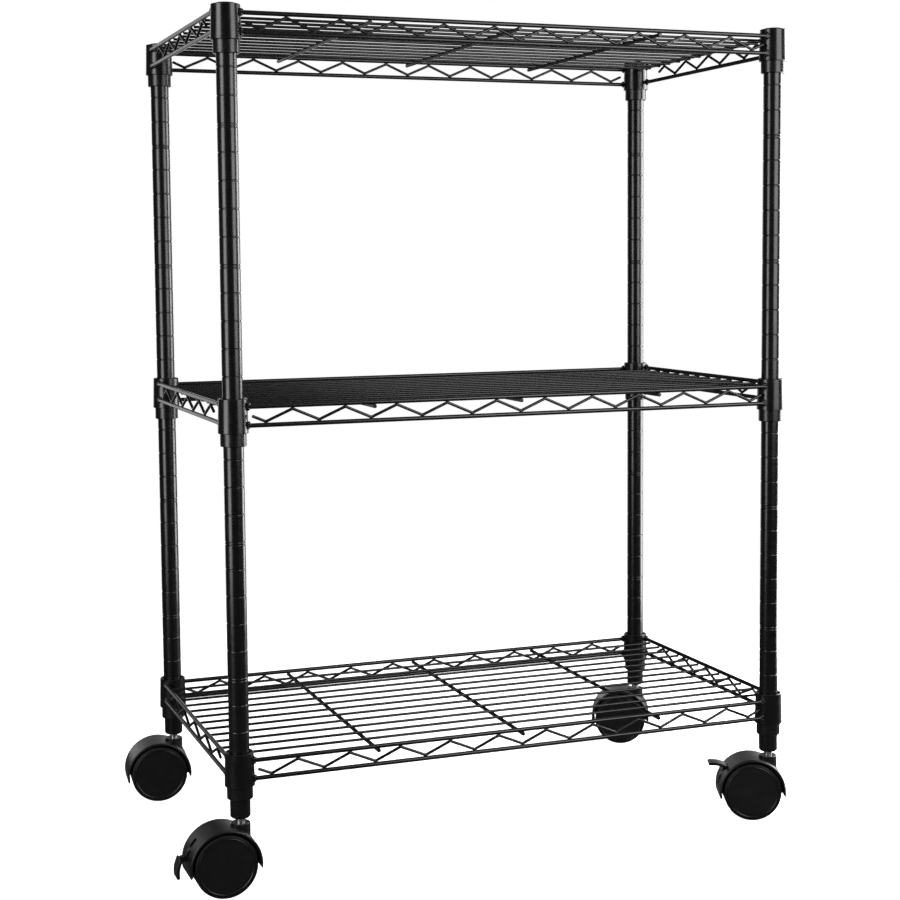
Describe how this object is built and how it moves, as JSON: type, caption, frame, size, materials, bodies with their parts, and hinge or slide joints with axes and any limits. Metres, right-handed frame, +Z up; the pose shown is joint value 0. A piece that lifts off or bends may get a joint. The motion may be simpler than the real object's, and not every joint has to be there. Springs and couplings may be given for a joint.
{
  "type": "wire shelving rack",
  "caption": "Wire shelving rack of black coated steel: grooved tube posts on swivelling twin-wheel casters, wire shelves that wedge onto split sleeves and lift off, brake levers in front.",
  "frame": {"origin": "on the floor, under the middle of the whole outline, casters included", "axes": "+X along the shelves to the right as seen from the front, -Y the front, +Z up"},
  "size_m": [0.6538, 0.3708, 0.8192],
  "materials": {
    "coated_steel": "satin black powder coat on tube and wire",
    "sleeve_plastic": "black moulded plastic, fine satin",
    "caster_plastic": "black moulded nylon, satin",
    "wheel_plastic": "black moulded wheel disc, satin",
    "tread_rubber": "black tread, dull",
    "zinc_steel": "bright zinc plated steel"
  },
  "bodies": {
    "rack": {"post_front_left": "coated_steel", "post_front_right": "coated_steel", "post_back_left": "coated_steel", "post_back_right": "coated_steel", "post_caps": "sleeve_plastic", "post_inserts": "sleeve_plastic", "caster_stems": "zinc_steel", "top_sleeves": "sleeve_plastic", "middle_sleeves": "sleeve_plastic", "bottom_sleeves": "sleeve_plastic"},
    "top_shelf": {"top_collars": "coated_steel", "top_rim_wires": "coated_steel", "top_truss_wires": "coated_steel", "top_deck_wires": "coated_steel", "top_cross_wires": "coated_steel"},
    "middle_shelf": {"middle_collars": "coated_steel", "middle_rim_wires": "coated_steel", "middle_truss_wires": "coated_steel", "middle_deck_wires": "coated_steel", "middle_cross_wires": "coated_steel"},
    "bottom_shelf": {"bottom_collars": "coated_steel", "bottom_rim_wires": "coated_steel", "bottom_truss_wires": "coated_steel", "bottom_deck_wires": "coated_steel", "bottom_cross_wires": "coated_steel"},
    "front_left_caster": {"front_left_hood": "caster_plastic", "front_left_axle": "zinc_steel", "front_left_lever_pin": "zinc_steel"},
    "front_left_wheel_front": {"front_left_wheel_front": "wheel_plastic", "front_left_tread_front": "tread_rubber"},
    "front_left_wheel_back": {"front_left_wheel_back": "wheel_plastic", "front_left_tread_back": "tread_rubber"},
    "front_left_brake": {"front_left_brake_lever": "caster_plastic"},
    "front_right_caster": {"front_right_hood": "caster_plastic", "front_right_axle": "zinc_steel", "front_right_lever_pin": "zinc_steel"},
    "front_right_wheel_front": {"front_right_wheel_front": "wheel_plastic", "front_right_tread_front": "tread_rubber"},
    "front_right_wheel_back": {"front_right_wheel_back": "wheel_plastic", "front_right_tread_back": "tread_rubber"},
    "front_right_brake": {"front_right_brake_lever": "caster_plastic"},
    "back_left_caster": {"back_left_hood": "caster_plastic", "back_left_axle": "zinc_steel"},
    "back_left_wheel_front": {"back_left_wheel_front": "wheel_plastic", "back_left_tread_front": "tread_rubber"},
    "back_left_wheel_back": {"back_left_wheel_back": "wheel_plastic", "back_left_tread_back": "tread_rubber"},
    "back_right_caster": {"back_right_hood": "caster_plastic", "back_right_axle": "zinc_steel"},
    "back_right_wheel_front": {"back_right_wheel_front": "wheel_plastic", "back_right_tread_front": "tread_rubber"},
    "back_right_wheel_back": {"back_right_wheel_back": "wheel_plastic", "back_right_tread_back": "tread_rubber"}
  },
  "joints": [
    {"name": "top_shelf_lift", "type": "slide", "parent": "rack", "child": "top_shelf", "axis": [0, 0, 1], "range_m": [0, 0.04]},
    {"name": "middle_shelf_lift", "type": "slide", "parent": "rack", "child": "middle_shelf", "axis": [0, 0, 1], "range_m": [0, 0.3]},
    {"name": "bottom_shelf_lift", "type": "slide", "parent": "rack", "child": "bottom_shelf", "axis": [0, 0, 1], "range_m": [0, 0.27]},
    {"name": "front_left_swivel", "type": "hinge", "parent": "rack", "child": "front_left_caster", "pos_m": [-0.26423, -0.16142, 0.06], "axis": [0, 0, 1], "continuous": true},
    {"name": "front_left_wheel_front_roll", "type": "hinge", "parent": "front_left_caster", "child": "front_left_wheel_front", "pos_m": [-0.28223, -0.16142, 0.03], "axis": [0, 1, 0], "continuous": true},
    {"name": "front_left_wheel_back_roll", "type": "hinge", "parent": "front_left_caster", "child": "front_left_wheel_back", "pos_m": [-0.28223, -0.16142, 0.03], "axis": [0, 1, 0], "continuous": true},
    {"name": "front_left_brake_press", "type": "hinge", "parent": "front_left_caster", "child": "front_left_brake", "pos_m": [-0.30773, -0.16142, 0.0393], "axis": [0, -1, 0], "range_deg": [-90, 0]},
    {"name": "front_right_swivel", "type": "hinge", "parent": "rack", "child": "front_right_caster", "pos_m": [0.30377, -0.16142, 0.06], "axis": [0, 0, 1], "continuous": true},
    {"name": "front_right_wheel_front_roll", "type": "hinge", "parent": "front_right_caster", "child": "front_right_wheel_front", "pos_m": [0.28714, -0.15453, 0.03], "axis": [0.3827, 0.9239, 0], "continuous": true},
    {"name": "front_right_wheel_back_roll", "type": "hinge", "parent": "front_right_caster", "child": "front_right_wheel_back", "pos_m": [0.28714, -0.15453, 0.03], "axis": [0.3827, 0.9239, 0], "continuous": true},
    {"name": "front_right_brake_press", "type": "hinge", "parent": "front_right_caster", "child": "front_right_brake", "pos_m": [0.26358, -0.14477, 0.0393], "axis": [-0.3827, -0.9239, 0], "range_deg": [0, 90]},
    {"name": "back_left_swivel", "type": "hinge", "parent": "rack", "child": "back_left_caster", "pos_m": [-0.26423, 0.14458, 0.06], "axis": [0, 0, 1], "continuous": true},
    {"name": "back_left_wheel_front_roll", "type": "hinge", "parent": "back_left_caster", "child": "back_left_wheel_front", "pos_m": [-0.28216, 0.14615, 0.03], "axis": [0.0872, 0.9962, 0], "continuous": true},
    {"name": "back_left_wheel_back_roll", "type": "hinge", "parent": "back_left_caster", "child": "back_left_wheel_back", "pos_m": [-0.28216, 0.14615, 0.03], "axis": [0.0872, 0.9962, 0], "continuous": true},
    {"name": "back_right_swivel", "type": "hinge", "parent": "rack", "child": "back_right_caster", "pos_m": [0.30377, 0.14458, 0.06], "axis": [0, 0, 1], "continuous": true},
    {"name": "back_right_wheel_front_roll", "type": "hinge", "parent": "back_right_caster", "child": "back_right_wheel_front", "pos_m": [0.28773, 0.15275, 0.03], "axis": [0.454, 0.891, 0], "continuous": true},
    {"name": "back_right_wheel_back_roll", "type": "hinge", "parent": "back_right_caster", "child": "back_right_wheel_back", "pos_m": [0.28773, 0.15275, 0.03], "axis": [0.454, 0.891, 0], "continuous": true}
  ]
}
